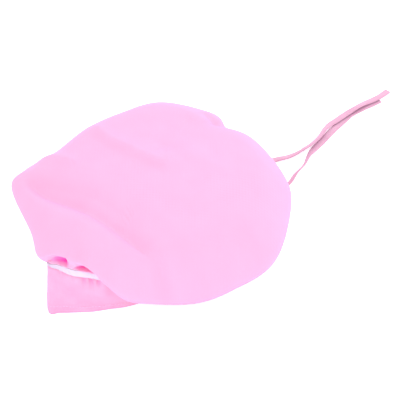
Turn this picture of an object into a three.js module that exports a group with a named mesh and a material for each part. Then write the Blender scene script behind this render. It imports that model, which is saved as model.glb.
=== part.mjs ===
// A soft cloth chef hat that rests on its headband, with its ties lying on the table.
// The headband is a standing loop round the mouth. An elastic trim runs along its top edge, a full
// floppy crown is gathered onto the trim and sags down to the table on the right, and two narrow ties
// leave the band at the back.
// Millimetres, +Z up, the table at z = 0, the origin under the middle of the cloth. The front of the
// hat, with the band's folded corner, is towards -X and -Y, and the back is towards +X and +Y.
import * as THREE from "three";

// ---- Driving dimensions ---------------------------------------------------------------------------
const BAND_WALL = 2; // two layers of cotton, pressed
const TRIM_WALL = 2.4; // covered elastic
const CROWN_WALL = 1.5; // cotton with its seam allowances
const SEAM_GAP = 0.6; // between pieces that are sewn together
const GATHER_GAP = 1; // between the trim and the crown's gathered edge

const TIE_WIDTH = 8;
const TIE_THICKNESS = 1.4;
const TIE_FACETS = 8;
const TIE_LIFT = 0.9; // the flat solids turn a little along the route, so they lie this much higher
const TIE_LEAD = 6; // how far a tie stands straight out from the band before it drops
const TIE_STEP = 5; // the tapes turn and cross closely, so the steps are short

const COLUMNS_PER_STATION = 3; // facets between two stations round the hat
const BAND_ROWS = 4; // facets up the band
const ROWS_PER_SPAN = 3; // facets between two held points of the crown's profile

// The crown's highest point, where all its profiles meet.
const CREST = [-31, -8, 97];

// Stations round the hat, anticlockwise from the band's folded corner, seen from above.
//   foot      bottom edge of the band: x, y
//   top       top edge of the band: x, y, z
//   trim      height of the elastic trim
//   throat    how far the crown goes out and up from the trim before it turns: out, up
//   hem       lowest line of the crown's overhang: x, y, z
//   rim       widest line of the crown: x, y, z
//   shoulder  where the top of the crown starts: share of the way from rim to crest, z
const STATIONS = [
  [[-103, -105.5], [-100, -90, 56], 2.5, [0, 4], [-102, -86, 60], [-110, -87, 66], [0.16, 84]],
  [[-92, -106], [-89, -98, 57], 6, [-1, 7], [-90, -94, 73.5], [-92, -98, 79], [0.16, 89]],
  [[-77, -105.5], [-76, -105, 57], 9.2, [-0.5, 6], [-74, -102, 76.5], [-75, -107, 82], [0.16, 91]],
  [[-60, -104.5], [-59, -108, 57], 8.7, [0, 6], [-57, -112, 76], [-58, -117, 83], [0.16, 91]],
  [[-44, -101.5], [-43, -111, 56.5], 8, [2, 4], [-42, -118, 59], [-42, -123, 67], [0.15, 88]],
  [[-25, -98], [-25, -104, 51], 7.5, [2, 2], [-26, -114, 33], [-25, -122, 44], [0.14, 84]],
  [[-2, -89], [-2, -92, 49], 7, [2, 2], [-4, -104, 14], [-4, -113, 27], [0.14, 81]],
  [[39, -69], [39, -71, 47], 7, [3, 2], [42, -95, 3], [45, -105, 18], [0.16, 76]],
  [[69, -40], [69, -42, 46], 7, [3, 2], [78, -78, 3], [84, -86.5, 19], [0.17, 72]],
  [[82, -6], [82, -7, 47], 7, [3, 2], [112, -48, 3], [124.5, -53.5, 22], [0.17, 70]],
  [[77, 28], [77, 27, 48], 7, [3, 2], [126, 13, 7], [141.5, 12, 25], [0.17, 70]],
  [[61, 50], [61, 49, 50], 7, [3, 2], [121, 45, 10], [136.5, 48, 28], [0.17, 71]],
  [[47, 59], [46, 59, 51], 7, [3, 2], [97, 77, 18], [109, 86.5, 37], [0.17, 75]],
  [[31, 66], [30, 66, 53], 7, [3, 2], [70, 88, 32], [78, 98, 48], [0.17, 79]],
  [[13, 69], [13, 68, 54], 7, [3, 2], [55, 101, 40], [63, 114.5, 55], [0.17, 83]],
  [[-15, 68], [-15, 68, 56], 7, [3, 2], [-1, 105, 55], [6, 122.3, 66], [0.18, 88]],
  [[-43, 61], [-42, 62, 57], 7, [3, 2], [-38, 90, 58], [-39, 100.5, 69], [0.18, 91]],
  [[-69, 48], [-67, 49, 58], 7, [3, 2], [-68, 64, 60], [-75.5, 73, 71], [0.18, 92]],
  [[-91, 22], [-88, 24, 58], 7, [3, 2], [-96, 33, 60], [-105, 40, 71], [0.18, 90]],
  [[-103, -10], [-100, -5, 57], 7, [3, 2], [-119, 14, 60], [-132.5, 18, 71], [0.18, 88]],
  [[-107, -42], [-103, -32, 57], 5, [3, 3], [-131, -4, 60], [-143, -3, 70], [0.18, 86]],
  [[-106, -78], [-102, -62, 56], 3, [2, 4], [-110, -57, 59], [-119, -59, 67], [0.17, 85]],
].map(([foot, top, trim, throat, hem, rim, shoulder]) => ({ foot, top, trim, throat, hem, rim, shoulder }));

// Folds of the crown's upper side: where each runs, seen from above (x, y), its half width, how high it
// rises (negative for a valley), and how far from its ends it dies out.
const FOLDS = [
  { route: [[-129, -6], [-79, -31], [-39, -58], [-13, -80], [7, -93]], width: 9, rise: -7, fade: 22 },
  { route: [[-117, -6], [-63, -21], [-42, -35], [-21, -49]], width: 9, rise: -3.5, fade: 22 },
  { route: [[7, -90], [9, -106]], width: 6, rise: -4, fade: 10 },
  { route: [[-125, -16], [-93, -36]], width: 7, rise: 3, fade: 16 },
  { route: [[-57, 66], [-5, 36]], width: 14, rise: 4, fade: 24 },
  { route: [[21, 86], [37, 70]], width: 9, rise: -4, fade: 14 },
  { route: [[51, 98], [71, 86]], width: 8, rise: -4, fade: 12 },
];

// The ties: the station of the band that each is sewn to, how high up the band, and its route from
// there along the table (x, y, z), chosen by hand.
const TIES = {
  tie_left: {
    station: 13,
    height: 9,
    route: [
      [42, 85, 3], [58, 92, 1.4], [78, 96, 1], [101, 98.5, 1], [114, 99.5, 1], [126.5, 101.5, 1.4],
      [135, 104, 1.5], [144, 106.5, 1.8], [152, 110.5, 2.2], [158, 114.5, 2.7], [162, 117.4, 3.5],
      [169.6, 123.8, 3.6], [177.3, 133, 3.8], [182.3, 139.7, 3.8], [185.6, 147.4, 3.5], [192.8, 156.2, 2.8],
      [201, 163, 2.6], [209.5, 170.5, 3], [218, 177.5, 3.5], [224, 182, 4], [230, 186.5, 4],
      [236, 190.8, 3.5], [241, 193.7, 3.2], [249.5, 199, 3], [256, 204.3, 2.4], [265, 213.5, 1.2],
    ],
  },
  tie_right: {
    station: 11,
    height: 9,
    route: [
      [78, 59, 3], [94, 57, 1.2], [112, 56, 1.2], [128, 57.5, 1.6], [138, 61.5, 2.6], [144.5, 68, 3.1],
      [147.5, 73.5, 3.2], [151, 80, 3.3], [156, 86.5, 3.3], [160.5, 92.5, 3.4], [163, 97.5, 3.4],
      [165.3, 103.5, 3.1], [168.3, 109.8, 2.6], [172, 116.6, 1.5], [177.2, 124, 0.9], [183, 131.2, 0.8],
      [188.6, 138.8, 0.8], [194.5, 146.8, 0.8], [200.7, 154.4, 0.8], [206.8, 161.3, 0.8], [212, 167.5, 0.8],
      [217, 173.3, 0.8], [222, 177.6, 0.8], [228, 181.6, 0.8], [235, 186.4, 0.8], [242.7, 190.8, 0.8],
      [253.8, 198, 0.8],
    ],
  },
};

// ---- Shared by the pieces -----------------------------------------------------------------------------
const COLUMNS = STATIONS.length * COLUMNS_PER_STATION;
const columnNumbers = Array.from({ length: COLUMNS }, (_, column) => column);
const vec = ([x, y, z = 0]) => new THREE.Vector3(x, y, z);

// A closed smooth line through one entry of every station.
function lineThrough(points) {
  const curve = new THREE.CatmullRomCurve3(points, true, "catmullrom", 0.5);
  return (column) => curve.getPoint((column / COLUMNS + 1) % 1);
}

// A size of every station, blended round the hat in the same way.
function sizeThrough(sizes) {
  const line = lineThrough(sizes.map((size) => vec([size, 0, 0])));
  return (column) => line(column).x;
}

// Two facets between each pair of neighbours in two closed rings of vertex numbers.
function bridge(faces, lower, upper) {
  lower.forEach((corner, k) => {
    const next = (k + 1) % lower.length;
    faces.push(corner, lower[next], upper[next], corner, upper[next], upper[k]);
  });
}

function geometryOf(vertices, faces) {
  const geometry = new THREE.BufferGeometry().setFromPoints(vertices);
  geometry.setIndex(faces);
  geometry.computeVertexNormals();
  return geometry;
}

function pieceOf(name, geometry, material) {
  const piece = new THREE.Mesh(geometry, material);
  piece.name = name;
  return piece;
}

const footLine = lineThrough(STATIONS.map((station) => vec(station.foot)));
const topLine = lineThrough(STATIONS.map((station) => vec(station.top)));
const trimHeight = sizeThrough(STATIONS.map((station) => station.trim));

// Along the leaning wall of the band, upwards.
const wallUp = (column) => topLine(column).sub(footLine(column)).normalize();

// Level and square to the band, away from the mouth.
function wallOut(column) {
  const along = footLine(column + 0.1).sub(footLine(column - 0.1));
  return new THREE.Vector3(along.y, -along.x, 0).normalize();
}

// A closed wall of even thickness that stands on one line and ends on another.
function wallGeometry(lowerLine, upperLine, rows, thickness) {
  const vertices = [];
  const ringAt = (row, side) =>
    columnNumbers.map((column) => {
      const middle = lowerLine(column).lerp(upperLine(column), row / rows);
      return vertices.push(middle.addScaledVector(wallOut(column), (side * thickness) / 2)) - 1;
    });
  const rowNumbers = Array.from({ length: rows + 1 }, (_, row) => row);
  const outer = rowNumbers.map((row) => ringAt(row, 1));
  const inner = rowNumbers.map((row) => ringAt(row, -1));
  const faces = [];
  for (let row = 0; row < rows; row++) {
    bridge(faces, outer[row], outer[row + 1]);
    bridge(faces, inner[row + 1], inner[row]);
  }
  bridge(faces, outer[rows], inner[rows]);
  bridge(faces, inner[0], outer[0]);
  return geometryOf(vertices, faces);
}

// ---- Headband: a loop of doubled cotton, its bottom edge flat on the table ----------------------------
const cotton = new THREE.MeshStandardMaterial({ color: 0xffc7f0, roughness: 0.9, metalness: 0 });
const headband = pieceOf("headband", wallGeometry(footLine, topLine, BAND_ROWS, BAND_WALL), cotton);

// ---- Seam trim: covered elastic along the top edge of the band -----------------------------------------
const elastic = new THREE.MeshStandardMaterial({ color: 0xf3e6ff, roughness: 0.8, metalness: 0 });
const trimFoot = (column) => topLine(column).addScaledVector(wallUp(column), SEAM_GAP);
const trimTop = (column) => trimFoot(column).addScaledVector(wallUp(column), trimHeight(column));
const seamTrim = pieceOf("seam_trim", wallGeometry(trimFoot, trimTop, 1, TRIM_WALL), elastic);

// ---- Crown: one thin shell, open where it is gathered onto the trim -------------------------------------
const HELD_ON_TOP = [0.35, 0.65]; // held points between shoulder and crest, as shares of the way
const RIM_SPAN = 3; // the folds start above this span of the profile
const CROWN_ROWS = (5 + HELD_ON_TOP.length) * ROWS_PER_SPAN;

const throatOut = sizeThrough(STATIONS.map((station) => station.throat[0]));
const throatUp = sizeThrough(STATIONS.map((station) => station.throat[1]));
const hemLine = lineThrough(STATIONS.map((station) => vec(station.hem)));
const rimLine = lineThrough(STATIONS.map((station) => vec(station.rim)));
const shoulderShare = sizeThrough(STATIONS.map((station) => station.shoulder[0]));
const shoulderHeight = sizeThrough(STATIONS.map((station) => station.shoulder[1]));

// From the trim, out over the overhang and the rim, and up to the crest.
function crownProfile(column) {
  const out = wallOut(column);
  const seam = trimTop(column).addScaledVector(wallUp(column), GATHER_GAP).addScaledVector(out, CROWN_WALL / 2);
  const throat = seam.clone().addScaledVector(out, throatOut(column));
  throat.z += throatUp(column);
  const rim = rimLine(column);
  const crest = vec(CREST);
  const shoulder = rim.clone().lerp(crest, shoulderShare(column)).setZ(shoulderHeight(column));
  const held = HELD_ON_TOP.map((share) => {
    const height = crest.z - (crest.z - shoulder.z) * (1 - share) ** 2;
    return shoulder.clone().lerp(crest, share).setZ(height);
  });
  const points = [seam, throat, hemLine(column), rim, shoulder, ...held, crest];
  return new THREE.CatmullRomCurve3(points, false, "centripetal");
}

// How far a fold lifts the cloth at a point seen from above.
function liftOf({ route, width, rise, fade }, x, y) {
  let nearest = Infinity;
  let along = 0;
  let length = 0;
  for (let k = 1; k < route.length; k++) {
    const start = new THREE.Vector2(...route[k - 1]);
    const leg = new THREE.Vector2(...route[k]).sub(start);
    const from = new THREE.Vector2(x, y).sub(start);
    const share = THREE.MathUtils.clamp(from.dot(leg) / leg.lengthSq(), 0, 1);
    const distance = from.distanceTo(leg.clone().multiplyScalar(share));
    if (distance < nearest) {
      nearest = distance;
      along = length + share * leg.length();
    }
    length += leg.length();
  }
  const toEnd = Math.min(along, length - along);
  const ends = THREE.MathUtils.smoothstep(toEnd, -fade / 3, (2 * fade) / 3);
  return rise * ends * Math.exp(-((nearest / width) ** 2));
}

function crownGeometry() {
  const outer = [];
  const rows = Array.from({ length: CROWN_ROWS }, (_, row) => row);
  const profiles = columnNumbers.map(crownProfile);
  const rings = rows.map((row) => {
    const above = THREE.MathUtils.smoothstep(row / ROWS_PER_SPAN, RIM_SPAN, RIM_SPAN + 1);
    return profiles.map((profile) => {
      const point = profile.getPoint(row / CROWN_ROWS);
      point.z += above * FOLDS.reduce((sum, fold) => sum + liftOf(fold, point.x, point.y), 0);
      return outer.push(point) - 1;
    });
  });
  const crest = outer.push(vec(CREST)) - 1;

  const faces = [];
  rows.slice(1).forEach((row) => bridge(faces, rings[row - 1], rings[row]));
  const last = rings[CROWN_ROWS - 1];
  last.forEach((corner, k) => faces.push(corner, last[(k + 1) % COLUMNS], crest));

  // The inner side is the outer side moved in by the wall, facing the other way.
  const normals = geometryOf(outer, faces).getAttribute("normal");
  const inner = outer.map((point, k) => {
    const normal = new THREE.Vector3().fromBufferAttribute(normals, k);
    return point.clone().addScaledVector(normal, -CROWN_WALL);
  });
  const innerFaces = faces.map((corner) => corner + outer.length).reverse();
  const allFaces = [...faces, ...innerFaces];
  bridge(allFaces, rings[0].map((corner) => corner + outer.length), rings[0]);
  return geometryOf([...outer, ...inner], allFaces);
}

const crown = pieceOf("crown", crownGeometry(), cotton);

// ---- Ties: flat tapes sewn to the back of the band, lying on the table -----------------------------------
const tape = new THREE.MeshStandardMaterial({ color: 0xeea9d0, roughness: 0.9, metalness: 0 });

const lifted = ([x, y, z]) => new THREE.Vector3(x, y, z + TIE_LIFT);

function tieOf(name, { station, height, route }) {
  const column = station * COLUMNS_PER_STATION;
  const wall = footLine(column).lerp(topLine(column), height / topLine(column).z);
  const sewn = wall.clone().addScaledVector(wallOut(column), BAND_WALL / 2 + SEAM_GAP);
  const lead = sewn.clone().addScaledVector(wallOut(column), TIE_LEAD);
  const path = new THREE.CatmullRomCurve3([sewn, lead, ...route.map(lifted)], false, "centripetal");
  const section = new THREE.Shape();
  const toCorners = 1 / Math.cos(Math.PI / TIE_FACETS); // so that the flats give the tape's width
  for (let k = 0; k < TIE_FACETS; k++) {
    const turn = ((k + 0.5) / TIE_FACETS) * 2 * Math.PI;
    const corner = [TIE_THICKNESS * Math.cos(turn), TIE_WIDTH * Math.sin(turn)].map((size) => (size / 2) * toCorners);
    if (k === 0) section.moveTo(...corner);
    else section.lineTo(...corner);
  }
  const steps = Math.round(path.getLength() / TIE_STEP);
  const geometry = new THREE.ExtrudeGeometry(section, { steps, extrudePath: path, bevelEnabled: false });
  return pieceOf(name, geometry, tape);
}

const ties = Object.entries(TIES).map(([name, tie]) => tieOf(name, tie));

// ---- The hat -----------------------------------------------------------------------------------------------
const chefHat = new THREE.Group();
chefHat.add(headband, seamTrim, crown, ...ties);

export default chefHat;
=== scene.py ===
import math

import bpy
import numpy as np
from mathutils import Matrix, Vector, noise


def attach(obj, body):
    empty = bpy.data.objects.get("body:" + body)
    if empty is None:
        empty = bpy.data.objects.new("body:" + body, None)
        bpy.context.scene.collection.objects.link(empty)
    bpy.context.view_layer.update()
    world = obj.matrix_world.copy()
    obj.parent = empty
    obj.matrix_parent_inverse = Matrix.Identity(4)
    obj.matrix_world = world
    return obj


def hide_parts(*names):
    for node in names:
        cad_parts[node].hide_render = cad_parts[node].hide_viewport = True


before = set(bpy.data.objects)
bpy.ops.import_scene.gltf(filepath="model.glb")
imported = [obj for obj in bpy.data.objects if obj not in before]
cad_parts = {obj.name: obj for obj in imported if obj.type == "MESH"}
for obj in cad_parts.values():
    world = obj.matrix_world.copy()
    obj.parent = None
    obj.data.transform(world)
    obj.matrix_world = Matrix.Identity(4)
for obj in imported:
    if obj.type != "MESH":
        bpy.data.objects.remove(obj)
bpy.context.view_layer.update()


# ---------------------------------------------------------------- camera
# Looks along +Y, down on the hat from its front at 48 degrees, from far enough off that the
# crown is seen with little perspective. Its sizes are in metres.

CAMERA_AIM = Vector((0.0465, 0.026, 0.020))
CAMERA_HEIGHT_ANGLE = math.radians(48)
CAMERA_DISTANCE = 1.3
VIEW_WIDTH = 0.42
SENSOR_WIDTH = 36

camera_data = bpy.data.cameras.new("camera")
camera_data.sensor_width = SENSOR_WIDTH
camera_data.lens = SENSOR_WIDTH * CAMERA_DISTANCE / VIEW_WIDTH
camera = bpy.data.objects.new("camera", camera_data)
camera.location = CAMERA_AIM + CAMERA_DISTANCE * Vector(
    (0, -math.cos(CAMERA_HEIGHT_ANGLE), math.sin(CAMERA_HEIGHT_ANGLE))
)
camera.rotation_euler = (math.pi / 2 - CAMERA_HEIGHT_ANGLE, 0, 0)
bpy.context.scene.collection.objects.link(camera)
bpy.context.scene.camera = camera


# ---------------------------------------------------------------- headband
# The strip that goes round the head: plain-woven cotton folded double, its lower edge turned
# and held by a row of stitches, its upper edge drawn in by the elastic so that it puckers.

MM = 0.001  # the tables are in millimetres, the meshes in metres

# foot x,y | top x,y,z, going round from the folded front corner
BAND_STATIONS = [
    [(-103, -105.5), (-100, -90, 56)],
    [(-92, -106), (-89, -98, 57)],
    [(-77, -105.5), (-76, -105, 57)],
    [(-60, -104.5), (-59, -108, 57)],
    [(-44, -101.5), (-43, -111, 56.5)],
    [(-25, -98), (-25, -104, 51)],
    [(-2, -89), (-2, -92, 49)],
    [(39, -69), (39, -71, 47)],
    [(69, -40), (69, -42, 46)],
    [(82, -6), (82, -7, 47)],
    [(77, 28), (77, 27, 48)],
    [(61, 50), (61, 49, 50)],
    [(47, 59), (46, 59, 51)],
    [(31, 66), (30, 66, 53)],
    [(13, 69), (13, 68, 54)],
    [(-15, 68), (-15, 68, 56)],
    [(-43, 61), (-42, 62, 57)],
    [(-69, 48), (-67, 49, 58)],
    [(-91, 22), (-88, 24, 58)],
    [(-103, -10), (-100, -5, 57)],
    [(-107, -42), (-103, -32, 57)],
    [(-106, -78), (-102, -62, 56)],
]
STATION_COUNT = len(BAND_STATIONS)
BAND_COLUMNS = 18  # columns of faces from one station to the next
BAND_ROWS = 30
BAND_WALL = 2.0
BAND_HEIGHT = 57  # of the cloth as cut, folded double
HEM_HEIGHT = 11
HEM_SLOPE = 1.5
HEM_TURN = 0.18  # how much more each side stands out where the hem is turned up
ROUNDED_EDGE = 0.55  # share of the wall that is left at the folded edges
HEM_STITCH_HEIGHT = 9.5
COTTON_PINK = (0.87, 0.385, 0.585)
# painted shade colour for the band's puckers, darker and deeper than its pink
PUCKER_SHADE_PINK = (1.0, 0.12, 0.5)
COTTON_RIPPLES = 100  # the weave's wave scale, one soft ripple to about 3 mm of cloth
HEM_THREAD = (0.92, 0.46, 0.68)


def round_the_head(values, columns):
    """The closed curve through one number or point a station, with so many columns between two."""
    held = np.array(values, float).reshape(len(values), -1)
    before, after, beyond = np.roll(held, 1, 0), np.roll(held, -1, 0), np.roll(held, -2, 0)
    t = (np.arange(columns) / columns)[None, :, None]
    before, held, after, beyond = (p[:, None] for p in (before, held, after, beyond))
    curve = 0.5 * (
        2 * held
        + (after - before) * t
        + (2 * before - 5 * held + 4 * after - beyond) * t**2
        + (3 * held - before - 3 * after + beyond) * t**3
    )
    return curve.reshape(-1, held.shape[-1])


def unit(vectors):
    return vectors / np.linalg.norm(vectors, axis=-1, keepdims=True)


def smooth(x, low, high):
    t = np.clip((x - low) / (high - low), 0, 1)
    return t * t * (3 - 2 * t)


def soft_noise(points, grain, seed):
    """Gentle lumps about this many millimetres across, from -1 to 1."""
    shift = Vector((seed * 17.3, seed * 5.1, seed * 9.7))
    flat = points.reshape(-1, 3)
    lumps = np.array([noise.noise(Vector(p) / grain + shift) for p in flat])
    return lumps.reshape(points.shape[:-1])


def sewn_mesh(name, rings, cloth, closed_round=True, closed_section=True):
    """A mesh from rings[column][row] of points; cloth gives each its place on the cut cloth."""
    columns, rows = rings.shape[:2]
    vertices = (rings * MM).reshape(-1, 3)
    faces, corners = [], []
    for c in range(columns if closed_round else columns - 1):
        for r in range(rows if closed_section else rows - 1):
            c2, r2 = (c + 1) % columns, (r + 1) % rows
            faces.append((c * rows + r, c2 * rows + r, c2 * rows + r2, c * rows + r2))
            corners += [(c, r), (c + 1, r), (c + 1, r + 1), (c, r + 1)]
    if closed_section and not closed_round:  # cut ends
        for c, order in ((0, range(rows)), (columns - 1, range(rows - 1, -1, -1))):
            faces.append([c * rows + r for r in order])
            corners += [(c, r) for r in order]
    mesh = bpy.data.meshes.new(name)
    mesh.from_pydata(vertices.tolist(), [], faces)
    layer = mesh.uv_layers.new(name="cloth")
    column, row = np.array(corners).T
    layer.uv.foreach_set("vector", (cloth(column, row) * MM).astype(np.float32).ravel())
    mesh.shade_smooth()
    piece = bpy.data.objects.new(name, mesh)
    bpy.context.scene.collection.objects.link(piece)
    return piece


def mark_painted_shade(piece, shares):
    """Marks where a piece's cloth takes its painted shade colour, from 0 to 1 at each of its points."""
    painted_shade_share = piece.data.attributes.new("painted_shade_share", "FLOAT", "POINT")
    painted_shade_share.data.foreach_set("value", shares.astype(np.float32).ravel())


def woven_cloth(
    name, colour, painted_shade_colour=None, through=0.25, ripples=COTTON_RIPPLES, weave=0.25, sheen=0.3, mottle=0.03
):
    """Plain-woven cotton: crossing threads, thicker ones here and there, a bloom of fibres, and a painted
    shade colour where a piece marks it.
    """
    material = bpy.data.materials.new(name)
    material.use_nodes = True
    nodes, links = material.node_tree.nodes, material.node_tree.links
    nodes.clear()
    output = nodes.new("ShaderNodeOutputMaterial")
    cloth = nodes.new("ShaderNodeBsdfPrincipled")
    glow = nodes.new("ShaderNodeBsdfTranslucent")
    both = nodes.new("ShaderNodeMixShader")
    both.inputs["Fac"].default_value = through
    links.new(cloth.outputs[0], both.inputs[1])
    links.new(glow.outputs[0], both.inputs[2])
    links.new(both.outputs[0], output.inputs["Surface"])
    cloth.inputs["Roughness"].default_value = 0.9
    cloth.inputs["Specular IOR Level"].default_value = 0.25
    cloth.inputs["Sheen Weight"].default_value = sheen
    cloth.inputs["Sheen Roughness"].default_value = 0.45
    cloth.inputs["Sheen Tint"].default_value = (0.72, 0.5, 1.0, 1)

    place = nodes.new("ShaderNodeUVMap")
    place.uv_map = "cloth"
    heights = []
    for direction in ("X", "Y"):
        thread = nodes.new("ShaderNodeTexWave")
        thread.bands_direction = direction
        thread.wave_profile = "SIN"
        thread.inputs["Scale"].default_value = ripples
        thread.inputs["Distortion"].default_value = 0.6
        thread.inputs["Detail"].default_value = 1
        thread.inputs["Detail Scale"].default_value = 0.3
        links.new(place.outputs[0], thread.inputs["Vector"])
        slub = nodes.new("ShaderNodeTexNoise")
        slub.inputs["Scale"].default_value = 1
        slub.inputs["Detail"].default_value = 2
        stretch = nodes.new("ShaderNodeMapping")
        along, across = 60, 1400  # slubs in a metre of thread, threads in a metre of cloth
        stretched = (across, along, 1) if direction == "X" else (along, across, 1)
        stretch.inputs["Scale"].default_value = stretched
        links.new(place.outputs[0], stretch.inputs["Vector"])
        links.new(stretch.outputs[0], slub.inputs["Vector"])
        woven = nodes.new("ShaderNodeMath")
        woven.operation = "MULTIPLY"
        links.new(thread.outputs["Fac"], woven.inputs[0])
        links.new(slub.outputs["Fac"], woven.inputs[1])
        heights.append(woven)
    crossed = nodes.new("ShaderNodeMath")
    crossed.operation = "ADD"
    links.new(heights[0].outputs[0], crossed.inputs[0])
    links.new(heights[1].outputs[0], crossed.inputs[1])
    relief = nodes.new("ShaderNodeBump")
    relief.inputs["Strength"].default_value = weave
    relief.inputs["Distance"].default_value = 0.0003  # metres
    links.new(crossed.outputs[0], relief.inputs["Height"])
    links.new(relief.outputs[0], cloth.inputs["Normal"])
    links.new(relief.outputs[0], glow.inputs["Normal"])

    cloud = nodes.new("ShaderNodeTexNoise")
    cloud.inputs["Scale"].default_value = 45
    cloud.inputs["Detail"].default_value = 3
    links.new(place.outputs[0], cloud.inputs["Vector"])
    tone = nodes.new("ShaderNodeMath")
    tone.operation = "MULTIPLY_ADD"
    tone.inputs[1].default_value = 0.04
    links.new(crossed.outputs[0], tone.inputs[0])
    links.new(cloud.outputs["Fac"], tone.inputs[2])
    dye = nodes.new("ShaderNodeValToRGB")
    dye.color_ramp.elements[0].position = 0.3
    dye.color_ramp.elements[1].position = 0.75
    deep = tuple(c ** (1 + mottle * 3) * (1 - mottle) for c in colour)
    light = tuple(min(1, c ** (1 - mottle * 2)) for c in colour)
    dye.color_ramp.elements[0].color = (*deep, 1)
    dye.color_ramp.elements[1].color = (*light, 1)
    links.new(tone.outputs[0], dye.inputs["Fac"])
    shade = dye.outputs["Color"]
    if painted_shade_colour:  # painted shade: the marked parts take a darker, deeper pink in place of the cloth's colour
        painted_shade_share = nodes.new("ShaderNodeAttribute")
        painted_shade_share.attribute_name = "painted_shade_share"
        with_painted_shade = nodes.new("ShaderNodeMix")
        with_painted_shade.data_type = "RGBA"
        for socket in with_painted_shade.inputs:
            if socket.name == "A" and socket.type == "RGBA":
                links.new(shade, socket)
            if socket.name == "B" and socket.type == "RGBA":
                socket.default_value = (*painted_shade_colour, 1)
        links.new(painted_shade_share.outputs["Fac"], with_painted_shade.inputs["Factor"])
        shade = next(o for o in with_painted_shade.outputs if o.type == "RGBA")
    links.new(shade, cloth.inputs["Base Color"])
    links.new(shade, glow.inputs["Color"])
    return material


STITCH_SIDES = 6
STITCH_RINGS = 5  # from one end of a stitch to the other
STITCH_END = 0.35  # share of the thread's thickness left where it goes into the cloth
STITCH_BOW = 0.9  # how far its middle rises out of the cloth, in thicknesses
STITCH_SUNK = 0.25  # how far its ends sink into the cloth


def distance_along(line):
    return np.concatenate([[0], np.cumsum(np.linalg.norm(np.diff(line, axis=0), axis=1))])


def stitches(name, line, out, stitch=2.4, gap=0.8, thick=0.32):
    """A row of thread stitches along a line of points, each bowed a little out of the cloth."""
    run = distance_along(line)
    vertices, faces = [], []

    def at(distance, values):
        return np.array([np.interp(distance, run, values[:, k]) for k in range(3)])

    for start in np.arange(0, run[-1] - stitch, stitch + gap):
        points = [at(start + stitch * k / (STITCH_RINGS - 1), line) for k in range(STITCH_RINGS)]
        lift = unit(at(start + stitch / 2, out))
        way = unit(points[-1] - points[0])
        side = np.cross(lift, way)
        first = len(vertices)
        for k, point in enumerate(points):
            bow = math.sin(math.pi * k / (STITCH_RINGS - 1))
            radius = thick * (STITCH_END + (1 - STITCH_END) * bow**0.5)
            risen = point + lift * thick * (bow * STITCH_BOW - STITCH_SUNK)
            for a in range(STITCH_SIDES):
                angle = 2 * math.pi * a / STITCH_SIDES
                turned = lift * math.cos(angle) + side * math.sin(angle)
                vertices.append((risen + turned * radius) * MM)
        for k in range(STITCH_RINGS - 1):
            ring, following = first + k * STITCH_SIDES, first + (k + 1) * STITCH_SIDES
            for a in range(STITCH_SIDES):
                b = (a + 1) % STITCH_SIDES
                faces.append((ring + a, following + a, following + b, ring + b))
        faces.append([first + a for a in range(STITCH_SIDES)])
        faces.append([len(vertices) - 1 - a for a in range(STITCH_SIDES)])
    mesh = bpy.data.meshes.new(name)
    mesh.from_pydata([tuple(v) for v in vertices], [], faces)
    mesh.shade_smooth()
    piece = bpy.data.objects.new(name, mesh)
    bpy.context.scene.collection.objects.link(piece)
    return piece


def sewing_thread(name, colour):
    material = bpy.data.materials.new(name)
    material.use_nodes = True
    nodes, links = material.node_tree.nodes, material.node_tree.links
    thread = nodes["Principled BSDF"]
    thread.inputs["Roughness"].default_value = 0.6
    thread.inputs["Sheen Weight"].default_value = 0.2
    ply = nodes.new("ShaderNodeTexNoise")
    ply.inputs["Scale"].default_value = 900
    where = nodes.new("ShaderNodeTexCoord")
    links.new(where.outputs["Object"], ply.inputs["Vector"])
    shade = nodes.new("ShaderNodeValToRGB")
    ply_shade = 0.92  # painted shade for the twist's hollows: the share of the colour kept in the darker patches, which a noise places
    shade.color_ramp.elements[0].color = (*(c * ply_shade for c in colour), 1)
    shade.color_ramp.elements[1].color = (*colour, 1)
    links.new(ply.outputs["Fac"], shade.inputs["Fac"])
    links.new(shade.outputs["Color"], thread.inputs["Base Color"])
    return material


band_foot = round_the_head([foot + (0,) for foot, top in BAND_STATIONS], BAND_COLUMNS)
band_top = round_the_head([top for foot, top in BAND_STATIONS], BAND_COLUMNS)
band_along = unit(np.roll(band_foot, -1, 0) - np.roll(band_foot, 1, 0))
band_out = np.stack([band_along[:, 1], -band_along[:, 0], np.zeros(len(band_foot))], 1)
band_up = unit(band_top - band_foot)
band_height = np.linalg.norm(band_top - band_foot, axis=1)
band_run = distance_along(np.vstack([band_foot, band_foot[:1]]))
band_girth = band_run[-1]
band_station = np.arange(len(band_foot)) / BAND_COLUMNS

# pucker place along the band, depth, half width, length down from the elastic
FIRST_PUCKER = 70
PUCKER_COUNT = 54
draw = np.random.default_rng(11)
puckers = [
    (place, draw.uniform(0.7, 1.6), draw.uniform(1.6, 3.0), draw.uniform(8, 18))
    for place in FIRST_PUCKER + np.cumsum(draw.uniform(5, 13, PUCKER_COUNT))
]
# the same by station, at the front, where the elastic pulls hardest
FRONT_PUCKERS = [
    (1.05, 1.2, 1.5, 5),
    (1.36, 1.8, 1.6, 7),
    (2.05, 1.6, 1.5, 9),
    (2.67, 3.0, 1.8, 13),
    (3.07, 3.6, 2.0, 14),
    (3.56, 3.2, 2.0, 14),
    (4.2, 1.8, 1.8, 9),
]
puckers += [
    (np.interp(station, band_station, band_run[:-1]), *rest) for station, *rest in FRONT_PUCKERS
]
PUCKER_LEAN = 0.08  # how far a pucker may lean, for each millimetre down
PUCKER_FAN = 0.08  # how much wider it gets, for each millimetre down
TUCK = 0.7  # how far the seam draws the band's top edge in
TUCK_REACH = 1.5
BAND_LUMPS = [(0.9, 26, 1), (0.4, 9, 2)]  # height, grain, seed
# painted shade in the puckers: none until the first of these depths, full by the second, and at most the
# share below
PUCKER_SHADE_DEPTHS = (1, 8)
MOST_PUCKER_SHADE = 0.4


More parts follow.
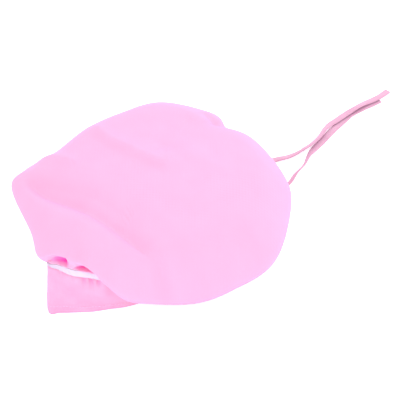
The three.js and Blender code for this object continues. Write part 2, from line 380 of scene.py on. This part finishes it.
def pucker_depth(share):
    """How far the puckers sink the band's cloth at a share of its height."""
    down = (1 - share)[None, :] * band_height[:, None]
    sunk = np.zeros(down.shape)
    for place, depth, wide, length in puckers:
        middle = place + PUCKER_LEAN * down * math.sin(place)
        off = np.abs((band_run[:-1, None] - middle + band_girth / 2) % band_girth - band_girth / 2)
        sunk += depth * np.exp(-((off / (wide + PUCKER_FAN * down)) ** 2) - (down / length) ** 2)
    return sunk


def band_surface(share):
    """The middle of the band's cloth at a share of its height, with its puckers and soft lumps."""
    sheet = band_foot[:, None] + (band_top - band_foot)[:, None] * share[None, :, None]
    down = (1 - share)[None, :] * band_height[:, None]
    moved = sum(height * soft_noise(sheet, grain, seed) for height, grain, seed in BAND_LUMPS)
    moved *= smooth(share, 0, 0.12)[None, :]  # none at the foot
    moved -= pucker_depth(share) + TUCK * np.exp(-((down / TUCK_REACH) ** 2))
    return sheet + band_out[:, None] * moved[..., None]


band_rows = np.linspace(0, 1, BAND_ROWS + 1)
band_middle = band_surface(band_rows)
above_hem = smooth(band_rows * band_height.mean(), HEM_HEIGHT, HEM_HEIGHT + HEM_SLOPE)
half_wall = BAND_WALL / 2 - HEM_TURN * above_hem
half_wall[[0, -1]] *= ROUNDED_EDGE
to_face = band_out[:, None] * half_wall[:, None]
band_rings = np.concatenate([band_middle + to_face, (band_middle - to_face)[:, ::-1]], axis=1)
inside_from = BAND_HEIGHT + BAND_WALL
band_rise = np.concatenate(
    [band_rows * BAND_HEIGHT, inside_from + (1 - band_rows) * BAND_HEIGHT, [2 * inside_from]]
)
headband = sewn_mesh(
    "headband_cloth", band_rings, lambda column, row: np.stack([band_run[column], band_rise[row]], 1)
)
shallow, deep = PUCKER_SHADE_DEPTHS
# painted shade in the band's deeper puckers, on its outside only
pucker_shade = np.clip((pucker_depth(band_rows) - shallow) / (deep - shallow), 0, MOST_PUCKER_SHADE)
mark_painted_shade(headband, np.hstack([pucker_shade, np.zeros_like(pucker_shade)]))  # outside, inside
headband.data.materials.append(woven_cloth("band cotton", COTTON_PINK, painted_shade_colour=PUCKER_SHADE_PINK))
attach(headband, "root")
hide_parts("headband")

pink_thread = sewing_thread("pink thread", HEM_THREAD)
hem_line = band_surface(np.array([HEM_STITCH_HEIGHT / band_height.mean()]))[:, 0]
for label, side in (("outer", 1), ("inner", -1)):
    line = hem_line + band_out * side * (BAND_WALL / 2)
    out = band_out * side
    row = stitches(
        f"hem_stitches_{label}", np.vstack([line, line[:1]]), np.vstack([out, out[:1]])
    )
    row.data.materials.append(pink_thread)
    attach(row, "root")


# ---------------------------------------------------------------- seam trim
# White ribbed elastic sewn over the seam where the crown is gathered onto the band. It shows
# at the front, where the crown stands off it, and draws the band and crown together.

# by station round the head, most where the crown leaves it in sight
TRIM_HEIGHTS = [2.5, 6, 9.2, 8.7, 8, 7.5, 7, 7, 7, 7, 7, 7, 7, 7, 7, 7, 7, 7, 7, 7, 5, 3]
SEAM_GAP = 0.6
TRIM_WALL = 1.9
TRIM_WIDTH = 8
TRIM_EDGE = 2  # round its edge, from the outside to the inside
TRIM_RIBS = 4
RIB_RISE = 0.22
RUCK_RISE = 0.22  # how far the drawn-up elastic waves in and out
RUCK_WAVE = 0.9
TRIM_ROWS = 20
ELASTIC_WHITE = (0.62, 0.53, 0.66)
ELASTIC_RIPPLES = 50

trim_height = round_the_head(TRIM_HEIGHTS, BAND_COLUMNS)
trim_foot = band_top + band_up * SEAM_GAP
trim_rows = np.linspace(0, 1, TRIM_ROWS + 1)
trim_middle = trim_foot[:, None] + (band_up * trim_height)[:, None] * trim_rows[None, :, None]
swell = np.sqrt(np.clip(1 - (2 * trim_rows - 1) ** 4, 0.05, 1))
off_edges = smooth(trim_rows, 0, 0.1) * smooth(1 - trim_rows, 0, 0.1)
ribs = RIB_RISE * np.cos(2 * math.pi * TRIM_RIBS * trim_rows) * off_edges
half_wall = (TRIM_WALL / 2 * swell + ribs)[None, :]
seam_run = band_run[:-1, None]
ruck = RUCK_RISE * np.sin(seam_run * RUCK_WAVE + 2 * np.sin(seam_run * 0.11)) * swell[None, :]
outer = trim_middle + band_out[:, None] * (half_wall + ruck)[..., None]
inner = trim_middle - band_out[:, None] * (half_wall - ruck)[..., None]
trim_rings = np.concatenate([outer, inner[:, ::-1]], axis=1)
inside_from = TRIM_WIDTH + TRIM_EDGE
trim_rise = np.concatenate(
    [trim_rows * TRIM_WIDTH, inside_from + trim_rows * TRIM_WIDTH, [2 * inside_from]]
)
trim = sewn_mesh(
    "seam_elastic", trim_rings, lambda column, row: np.stack([band_run[column], trim_rise[row]], 1)
)
trim.data.materials.append(
    woven_cloth(
        "white elastic", ELASTIC_WHITE, through=0.12, ripples=ELASTIC_RIPPLES, weave=0.4, sheen=0.15
    )
)
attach(trim, "root")
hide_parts("seam_trim")


# ---------------------------------------------------------------- crown
# The full crown: one big round of the same cotton, gathered all round its edge into the seam.
# It puffs up over the band, hangs lower at the side it has flopped to, and lies in soft folds.

# throat out,up | hem x,y,z | rim x,y,z | shoulder share, z
CROWN_STATIONS = [
    [(0, 5), (-103, -88, 58), (-110, -87, 66), (0.16, 84)],
    [(-1, 9), (-90, -94, 73.5), (-92, -98, 79), (0.16, 89)],
    [(-1, 9), (-74, -102, 76.5), (-75, -107, 82), (0.16, 91)],
    [(0, 7), (-57, -112, 76), (-58, -117, 83), (0.16, 91)],
    [(2, 4), (-42, -118, 59), (-42, -123, 67), (0.15, 88)],
    [(2, 2), (-26, -114, 33), (-25, -122, 44), (0.14, 84)],
    [(2, 2), (-4, -104, 14), (-4, -113, 27), (0.14, 81)],
    [(3, 2), (42, -95, 3), (45, -105, 18), (0.16, 76)],
    [(3, 2), (78, -78, 3), (84, -86.5, 19), (0.17, 72)],
    [(3, 2), (112, -48, 3), (124.5, -53.5, 22), (0.17, 70)],
    [(3, 2), (126, 13, 7), (141.5, 12, 25), (0.17, 70)],
    [(3, 2), (121, 45, 10), (136.5, 48, 28), (0.17, 71)],
    [(3, 2), (97, 77, 18), (109, 86.5, 37), (0.17, 75)],
    [(3, 2), (70, 88, 32), (78, 98, 48), (0.17, 79)],
    [(3, 2), (55, 101, 40), (63, 114.5, 55), (0.17, 83)],
    [(3, 2), (-1, 105, 55), (6, 122.3, 66), (0.18, 88)],
    [(3, 2), (-38, 90, 58), (-39, 100.5, 69), (0.18, 91)],
    [(3, 2), (-68, 64, 60), (-75.5, 73, 71), (0.18, 92)],
    [(3, 2), (-96, 33, 60), (-105, 40, 71), (0.18, 90)],
    [(3, 2), (-119, 14, 60), (-132.5, 18, 71), (0.18, 88)],
    [(3, 3), (-131, -4, 60), (-143, -3, 70), (0.18, 86)],
    [(2, 4), (-110, -57, 59), (-119, -59, 67), (0.17, 85)],
]
CREST = np.array([-31, -8, 97.0])
# rows from seam to throat, to hem, to rim, to shoulder, and on to the crest in three spans
CROWN_SPAN_ROWS = [8, 8, 8, 14, 14, 12, 12]
TOP_SHARES = (0.35, 0.65)  # where the last spans meet, on the way from shoulder to crest
CROWN_WALL = 1.2
SEAM_EASE = 0.7  # more room over the elastic, for the thickness of the crown's edge
CROWN_LUMPS = [(0.8, 65, 3), (0.12, 18, 4)]  # height, grain, seed
GATHER_WAVE = 0.62
GATHER_DEPTH = 1.1
GATHER_SWELL = 0.3  # how far they stand out more than they go in, in depths
BACK_GATHER_DEPTH = 1.5  # what the back adds to both, where the crown hangs free of the band
BACK_GATHER_SWELL = 0.4
FRONT_GATHERS = 0.15  # share of the gathers that the front's pleats leave
FULL_SHADE_DEPTH = 9  # how far in a pleat's hollow goes where its painted shade is at its strongest
CROWN_PINK = (0.92, 0.43, 0.635)
# painted shade colour for the hollows of the front pleats
HOLLOW_SHADE_PINK = (1.0, 0.13, 0.58)

# route x,y ... | half width on its left, on its right | rise | fade at its ends
FOLDS = [
    ([(-130, -1), (-119, -12), (-102, -28), (-75, -43), (-40, -68), (-13, -89), (8, -100)], 14, 6, -8, 34),
    ([(-116, -6), (-94, -18), (-61, -33), (-21, -62)], 18, 12, -3.4, 24),
    ([(-131, -14), (-116, -38), (-89, -55), (-60, -72)], 12, 16, 2.5, 16),
    ([(-64, 62), (-42, 40), (-18, 23), (12, 8)], 9, 9, 5, 20),
    ([(-68, 50), (-44, 28), (-16, 10), (18, -6)], 9, 18, -1.6, 24),
    ([(-121, 27), (-100, 20), (-76, 10)], 8, 8, 4, 14),
    ([(-128, 20), (-113, 20)], 6, 6, -1.5, 8),
    ([(6, 26), (18, 50), (28, 68), (38, 90)], 14, 14, -4.5, 20),
    ([(50, 102), (68, 84)], 9, 8, -7, 12),
    ([(26, 30), (52, 18), (80, 8)], 18, 18, 2.5, 24),
    ([(66, -84), (94, -84), (120, -74)], 10, 7, -2, 16),
    ([(66, -76), (86, -72), (106, -70), (126, -66)], 5, 6, 1.4, 12),
]

# one upright crease down the near side
CREASE_STATION = 6.35
CREASE_HALF_WIDTH = 0.14
CREASE_DEPTH = 3


def through_points(points, counts):
    """A smooth curve through points[..., k, :], with so many steps from each point to the next."""
    first = 2 * points[..., :1, :] - points[..., 1:2, :]
    last = 2 * points[..., -1:, :] - points[..., -2:-1, :]
    held = np.concatenate([first, points, last], axis=-2)
    gap = np.maximum(np.linalg.norm(np.diff(held, axis=-2), axis=-1), 1e-6) ** 0.5
    lines = []
    for k, count in enumerate(counts):
        a, b, c, d = (held[..., k + i, :][..., None, :] for i in range(4))
        g0, g1, g2 = (gap[..., k + i][..., None, None] for i in range(3))
        leave = ((b - a) / g0 - (c - a) / (g0 + g1) + (c - b) / g1) * g1
        reach = ((c - b) / g1 - (d - b) / (g1 + g2) + (d - c) / g2) * g1
        t = (np.arange(count) / count)[:, None]
        lines.append(
            b
            + leave * t
            + (3 * (c - b) - 2 * leave - reach) * t**2
            + (2 * (b - c) + leave + reach) * t**3
        )
    return np.concatenate(lines + [points[..., -1:, :]], axis=-2)


FOLD_STEPS = 24
FOLD_SHARPNESS = 1.5


def fold_height(x, y):
    """How far the folds lift or sink the top of the crown here."""
    total = np.zeros_like(x)
    for route, left, right, rise, fade in FOLDS:
        held = np.array([(*point, 0.0) for point in route])
        way = through_points(held, [FOLD_STEPS] * (len(route) - 1))[:, :2]
        run = distance_along(way)
        off, to_end, wide = np.full(x.shape, np.inf), np.zeros_like(x), np.ones_like(x)
        for (px, py), (ax, ay), passed in zip(way, np.gradient(way, axis=0), run):
            distance = np.hypot(x - px, y - py)
            nearer = distance < off
            on_left = ax * (y - py) - ay * (x - px) > 0
            off = np.where(nearer, distance, off)
            wide = np.where(nearer, np.where(on_left, left, right), wide)
            to_end = np.where(nearer, min(passed, run[-1] - passed), to_end)
        kept = smooth(to_end, -fade / 3, fade * 2 / 3)
        total += rise * kept * np.exp(-((off / wide) ** FOLD_SHARPNESS))
    return total


seam_rise = SEAM_GAP + trim_height + SEAM_GAP + SEAM_EASE
seam = band_top + band_up * seam_rise + band_out * (CROWN_WALL / 2)
throat_way, hem, rim, shoulder_way = (
    round_the_head([held[k] for held in CROWN_STATIONS], BAND_COLUMNS) for k in range(4)
)

# The front pleats: two hollows between them that go in behind the elastic, with one pleat's
# fold coming down between the hollows. Station | throat out, up | hem out, up | rim out, up
FRONT_PLEATS = [
    (-0.6, 1, 4, 0, 0, 0, 0),
    (0.15, 0, 4, 0, 0, 0, 0),
    (0.9, -5, 2.5, 0, 0, -0.5, 0),
    (1.68, -10, 1, 0, 0, -2, -1),
    (1.74, 0.5, 2, 4, -4, -2.2, -1),
    (2.10, 0.5, 2, 4, -4, -2.2, -1),
    (2.3, -2, 2, 2, -2, -1.7, -0.7),
    (2.8, -8, 1, 0, 0.8, -0.3, 0),
    (3.3, -8, 1, 0, 1.5, 0, 0),
    (3.45, -4, 2.5, 0, 0.8, 0, 0),
    (3.8, 1.5, 5, 0, 0, 0, 0),
]
# the stations before the corner count down from 0
station = np.where(band_station > STATION_COUNT - 2, band_station - STATION_COUNT, band_station)
front = np.array(FRONT_PLEATS)
is_front = (station >= front[0, 0]) & (station <= front[-1, 0])
pleats = np.stack([np.interp(station, front[:, 0], front[:, k]) for k in range(1, 7)], 1)
throat_way = np.where(is_front[:, None], pleats[:, :2], throat_way)
throat = seam + band_out * throat_way[:, :1] + np.array([0, 0, 1]) * throat_way[:, 1:]
for edge, k in ((hem, 2), (rim, 4)):
    edge += np.where(is_front[:, None], band_out * pleats[:, k, None], 0)
    edge[:, 2] += np.where(is_front, pleats[:, k + 1], 0)
shoulder = rim + (CREST - rim) * shoulder_way[:, :1]
shoulder[:, 2] = shoulder_way[:, 1]
crown_lines = [seam, throat, hem, rim, shoulder]
for share in TOP_SHARES:
    line = shoulder + (CREST - shoulder) * share
    line[:, 2] = CREST[2] - (CREST[2] - shoulder[:, 2]) * (1 - share) ** 2
    crown_lines.append(line)
crown_lines.append(np.broadcast_to(CREST, rim.shape))
crown_rings = through_points(np.stack(crown_lines, 1), CROWN_SPAN_ROWS)
# where each row lies: 0 seam, 1 throat, 2 hem, 3 rim, 4 shoulder, 7 crest
span = np.concatenate(
    [k + np.arange(rows) / rows for k, rows in enumerate(CROWN_SPAN_ROWS)] + [[len(CROWN_SPAN_ROWS)]]
)

on_top = smooth(span, 3, 4)
crown_rings[..., 2] += on_top * fold_height(crown_rings[..., 0], crown_rings[..., 1])

across = np.roll(crown_rings, -1, 0) - np.roll(crown_rings, 1, 0)
along = np.gradient(crown_rings, axis=1)
normal = np.cross(across, along)
length = np.linalg.norm(normal, axis=-1, keepdims=True)
normal = np.where(length > 1e-9, normal / np.maximum(length, 1e-9), np.array([0, 0, 1.0]))

at_front = np.where(is_front, FRONT_GATHERS, 1)[:, None]
at_back = (smooth(station, 9, 11) * (1 - smooth(station, 19, 21)))[:, None]
gather_drift = 1.7 * np.sin(seam_run * 0.083) + 1.1 * np.sin(seam_run * 0.031)
gather = np.sin(seam_run * GATHER_WAVE + gather_drift)
gather_rows = smooth(span, 0, 0.5) * (1 - smooth(span, 1, 2.6))
gather_depth = GATHER_DEPTH + BACK_GATHER_DEPTH * at_back
gather_swell = GATHER_SWELL + BACK_GATHER_SWELL * at_back
moved = gather_depth * (gather_swell + gather) * at_front * gather_rows
in_crease = np.exp(-(((station - CREASE_STATION) / CREASE_HALF_WIDTH) ** 2))[:, None]
crease_rows = smooth(span, 2.8, 3.3) * (1 - smooth(span, 3.7, 4.3))
moved = moved - CREASE_DEPTH * in_crease * crease_rows
for height, grain, seed in CROWN_LUMPS:
    moved = moved + height * soft_noise(crown_rings, grain, seed) * smooth(span, 0.5, 3)
crown_rings = crown_rings + normal * moved[..., None]

crown_rings[:, -1] = crown_rings[:, -1].mean(0)
crown = sewn_mesh(
    "crown_cloth", crown_rings, lambda column, row: crown_rings[column % len(seam), row, :2],
    closed_section=False,
)
# the rows' ends are joined into one point at the crest, then the sheet gets its thickness
crest_closed = crown.modifiers.new("crest closed", "WELD")
crest_closed.merge_threshold = 0.002 * MM
wall = crown.modifiers.new("cloth thickness", "SOLIDIFY")
wall.thickness = CROWN_WALL * MM
wall.offset = -1
# painted shade in the front pleats' hollows, by how far in they go, from the throat to the hem
hollow_shade = np.where(is_front, np.clip(-pleats[:, 0] / FULL_SHADE_DEPTH, 0, 1), 0)[:, None]
mark_painted_shade(crown, hollow_shade * smooth(span, 0.25, 0.7) * (1 - smooth(span, 1.7, 1.95)))
crown.data.materials.append(
    woven_cloth("crown cotton", CROWN_PINK, painted_shade_colour=HOLLOW_SHADE_PINK, through=0.3, sheen=0.45, mottle=0.008)
)
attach(crown, "root")
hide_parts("crown")


# ---------------------------------------------------------------- ties
# Two narrow tapes of the same cotton, folded lengthways and stitched along one edge, sewn into
# the back of the band and cut square. They lie loose on the table and tilt in places, and in
# their far half the left one laps over the right.

TIE_WIDTH = 8
TIE_THICKNESS = 1.4
TIE_SIDES = 20
TIE_ROUNDED = 0.5  # 1 would make the tape's section oval, 0 square
TIE_HEIGHT = 9  # where they leave the band
TIE_LEAD = 6  # how far they go straight out from it
TIE_SEWN_IN = 0.3
TIE_STEPS = 12  # from one point of the route to the next
TURN_EASE = 6  # steps to each side over which a turn is spread
TIE_OFF_TABLE = 0.05
TIE_EDGE = 0.9  # width of the painted shade along each edge
TIE_SEAM = 1.1  # the stitches, from one edge
TIE_COTTON = (0.56, 0.315, 0.43)
# painted shade colour along the tape's edges
TIE_EDGE_SHADE = (0.54, 0.3, 0.41)
TIE_THREAD = (0.66, 0.27, 0.41)
# the band's station, then the route x, y, z and the tape's turn about its own line in degrees
TIES = {
    "tie_left": (13, [
        (42, 85, 3, 30), (58, 92, 1.4, 0), (78, 96, 1, 0), (101, 98.5, 1, 0), (114, 99.5, 1, -6),
        (126.5, 101.5, 1.4, -12), (135, 104, 1.5, -13), (144, 106.5, 1.8, -20), (152, 110.5, 2.2, -28),
        (158, 114.5, 2.7, -39), (162, 117.4, 3.6, -34), (169.8, 123.8, 3.6, -34), (177.4, 132.4, 3.6, -36),
        (182.5, 139.6, 3.6, -38), (187, 148, 3.4, -34), (193.3, 156.2, 2.8, -14), (201, 163, 2.6, -10),
        (209.5, 170.5, 3, -10), (218, 177.5, 3.5, -14), (224, 182, 4, -22), (230, 186.5, 4, -20),
        (236, 190.8, 3.5, -14), (241, 193.7, 3.2, -10), (249.5, 199, 3, -8), (256, 204.3, 2.4, -8),
        (265, 213.5, 1.2, -4),
    ]),
    "tie_right": (11, [
        (78, 59, 3, 30), (94, 57, 1.2, 0), (112, 56, 1.2, 0), (128, 57.5, 1.6, -15),
        (138, 61.5, 2.6, -32), (144.5, 68, 3.1, -43), (147.5, 73.5, 3.2, -46), (151, 80, 3.3, -50),
        (156, 86.5, 3.3, -54), (160.5, 92.5, 3.4, -57), (163, 97.5, 3.4, -60), (165.3, 103.5, 3.1, -52),
        (168.3, 109.8, 2.6, -33), (172, 116.6, 1.5, -12), (177.2, 124, 0.9, 0), (183, 131.2, 0.8, 3),
        (188.6, 138.8, 0.8, 3), (194.5, 146.8, 0.8, 3), (200.7, 154.4, 0.8, 2), (206.8, 161.3, 0.8, 0),
        (212, 167.5, 0.8, 0), (217, 173.3, 0.8, 0), (222, 177.6, 0.8, 0), (228, 181.6, 0.8, 0),
        (235, 186.4, 0.8, 0), (242.7, 190.8, 0.8, 0), (253.8, 198, 0.8, 0),
    ]),
}
tie_cotton = woven_cloth("tie cotton", TIE_COTTON, painted_shade_colour=TIE_EDGE_SHADE, through=0.05, sheen=0.15)
tie_thread = sewing_thread("tie thread", TIE_THREAD)
tie_angles = -2 * math.pi * np.arange(TIE_SIDES) / TIE_SIDES

for name, (leaving, route) in TIES.items():
    at = leaving * BAND_COLUMNS
    sewn = band_foot[at] + (band_top[at] - band_foot[at]) * (TIE_HEIGHT / band_top[at, 2])
    sewn = sewn + band_out[at] * (BAND_WALL / 2 - TIE_SEWN_IN)
    points = np.array([(*sewn, 90), (*(sewn + band_out[at] * TIE_LEAD), 80), *route], float)
    line = through_points(points[:, :3], [TIE_STEPS] * (len(points) - 1))
    run = distance_along(line)
    turns = np.radians(np.interp(run, run[::TIE_STEPS], points[:, 3]))
    spread = np.ones(2 * TURN_EASE + 1) / (2 * TURN_EASE + 1)
    turns = np.convolve(np.pad(turns, TURN_EASE, mode="edge"), spread, mode="valid")
    half_rise = TIE_WIDTH / 2 * np.abs(np.sin(turns)) + TIE_THICKNESS / 2 * np.abs(np.cos(turns))
    line[:, 2] = np.maximum(line[:, 2], half_rise + TIE_OFF_TABLE)
    way = unit(np.gradient(line, axis=0))
    level = unit(np.cross(np.array([0, 0, 1.0]), way))
    above = np.cross(way, level)
    wide = level * np.cos(turns)[:, None] + above * np.sin(turns)[:, None]
    thick = np.cross(way, wide)
    across, through = (
        np.sign(turned) * np.abs(turned) ** TIE_ROUNDED * size / 2
        for turned, size in ((np.cos(tie_angles), TIE_WIDTH), (np.sin(tie_angles), TIE_THICKNESS))
    )
    section = wide[:, None] * across[None, :, None] + thick[:, None] * through[None, :, None]
    tie = sewn_mesh(
        f"{name}_tape", line[:, None] + section,
        lambda column, row: np.stack([run[column], across[row % TIE_SIDES]], 1),
        closed_round=False,
    )
    # painted shade along both edges of the tape
    edge_shade = np.clip((np.abs(across) - TIE_WIDTH / 2 + TIE_EDGE) / TIE_EDGE, 0, 1)
    mark_painted_shade(tie, np.tile(edge_shade, len(line)))
    tie.data.materials.append(tie_cotton)
    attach(tie, "root")
    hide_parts(name)
    seam_line = line + wide * (TIE_SEAM - TIE_WIDTH / 2) + thick * TIE_THICKNESS / 2
    row = stitches(f"{name}_stitches", seam_line, thick, stitch=1.9, gap=0.7, thick=0.24)
    row.data.materials.append(tie_thread)
    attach(row, "root")


# ---------------------------------------------------------------- table and light
# A plain white table top that glows faintly, an even bright surround, a broad soft lamp at the
# back right and a weaker cool one at the front, which keeps the near side from going grey.

TABLE_SIZE = 8
TABLE_HEIGHT = -0.0002  # just clear of the hat
TABLE_WHITE = (0.9, 0.9, 0.9)
TABLE_GLOW = 0.45
SURROUND_STRENGTH = 1.65
# size, energy, colour, place
LAMPS = {
    "soft lamp": (1.2, 10, (1, 1, 1), (0.8, 1.1, 1.2)),
    "weak fill": (1.5, 3.5, (0.6, 0.76, 1.0), (-0.1, -1.3, 0.6)),
}

table_corners = [(x * TABLE_SIZE / 2, y * TABLE_SIZE / 2, TABLE_HEIGHT)
                 for x, y in ((-1, -1), (1, -1), (1, 1), (-1, 1))]
table_mesh = bpy.data.meshes.new("table")
table_mesh.from_pydata(table_corners, [], [(0, 1, 2, 3)])
table = bpy.data.objects.new("table", table_mesh)
bpy.context.scene.collection.objects.link(table)
table_top = bpy.data.materials.new("white table")
table_top.use_nodes = True
surface = table_top.node_tree.nodes["Principled BSDF"]
surface.inputs["Base Color"].default_value = (*TABLE_WHITE, 1)
surface.inputs["Roughness"].default_value = 0.9
surface.inputs["Emission Color"].default_value = (1, 1, 1, 1)
surface.inputs["Emission Strength"].default_value = TABLE_GLOW
table_mesh.materials.append(table_top)

surround = bpy.data.worlds.new("bright surround")
surround.use_nodes = True
surround.node_tree.nodes["Background"].inputs["Color"].default_value = (1, 1, 1, 1)
surround.node_tree.nodes["Background"].inputs["Strength"].default_value = SURROUND_STRENGTH
bpy.context.scene.world = surround

for name, (size, energy, colour, place) in LAMPS.items():
    lamp_data = bpy.data.lights.new(name, "AREA")
    lamp_data.size = size
    lamp_data.energy = energy
    lamp_data.color = colour
    lamp = bpy.data.objects.new(name, lamp_data)
    lamp.location = place
    lamp.rotation_euler = (-lamp.location).to_track_quat("-Z", "Y").to_euler()
    bpy.context.scene.collection.objects.link(lamp)

bpy.context.scene.view_settings.view_transform = "Standard"
